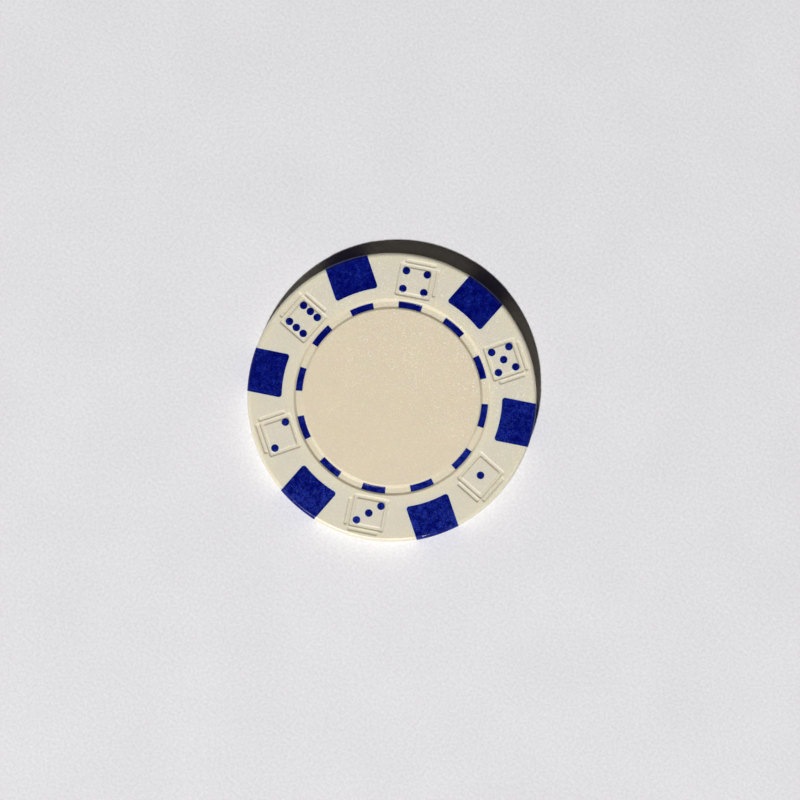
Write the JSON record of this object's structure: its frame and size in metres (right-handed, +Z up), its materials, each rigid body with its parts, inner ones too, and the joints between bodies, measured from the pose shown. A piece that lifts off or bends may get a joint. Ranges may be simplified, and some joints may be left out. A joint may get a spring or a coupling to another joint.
{
  "type": "dealer button",
  "caption": "Round two-colour moulded dealer button in chip form: cream body round a steel slug, blue edge spots, engraved dice with blue pips, and a dashed ring in a channel.",
  "frame": {"origin": "centre of the underside", "axes": "+Z up through the chip's thickness; +X through the centre of the die that shows one pip on the top face"},
  "size_m": [0.0392, 0.0392, 0.0033],
  "materials": {
    "cream_plastic": "warm cream ABS, satin with a fine moulded grain",
    "blue_plastic": "deep royal blue ABS, satin, lightly scuffed",
    "slug_steel": "plain blanked mild steel, hidden inside"
  },
  "bodies": {
    "root": {"cream_body": "cream_plastic", "carrier_ring": "blue_plastic", "steel_slug": "slug_steel", "edge_spot_1": "blue_plastic", "edge_spot_2": "blue_plastic", "edge_spot_3": "blue_plastic", "edge_spot_4": "blue_plastic", "edge_spot_5": "blue_plastic", "edge_spot_6": "blue_plastic", "ring_dash_top_01": "blue_plastic", "ring_dash_bottom_01": "blue_plastic", "ring_dash_top_02": "blue_plastic", "ring_dash_bottom_02": "blue_plastic", "ring_dash_top_03": "blue_plastic", "ring_dash_bottom_03": "blue_plastic", "ring_dash_top_04": "blue_plastic", "ring_dash_bottom_04": "blue_plastic", "ring_dash_top_05": "blue_plastic", "ring_dash_bottom_05": "blue_plastic", "ring_dash_top_06": "blue_plastic", "ring_dash_bottom_06": "blue_plastic", "ring_dash_top_07": "blue_plastic", "ring_dash_bottom_07": "blue_plastic", "ring_dash_top_08": "blue_plastic", "ring_dash_bottom_08": "blue_plastic", "ring_dash_top_09": "blue_plastic", "ring_dash_bottom_09": "blue_plastic", "ring_dash_top_10": "blue_plastic", "ring_dash_bottom_10": "blue_plastic", "ring_dash_top_11": "blue_plastic", "ring_dash_bottom_11": "blue_plastic", "ring_dash_top_12": "blue_plastic", "ring_dash_bottom_12": "blue_plastic", "die_1_pips_top": "blue_plastic", "die_1_pips_bottom": "blue_plastic", "die_2_pips_top": "blue_plastic", "die_2_pips_bottom": "blue_plastic", "die_3_pips_top": "blue_plastic", "die_3_pips_bottom": "blue_plastic", "die_4_pips_top": "blue_plastic", "die_4_pips_bottom": "blue_plastic", "die_5_pips_top": "blue_plastic", "die_5_pips_bottom": "blue_plastic", "die_6_pips_top": "blue_plastic", "die_6_pips_bottom": "blue_plastic"}
  },
  "joints": []
}
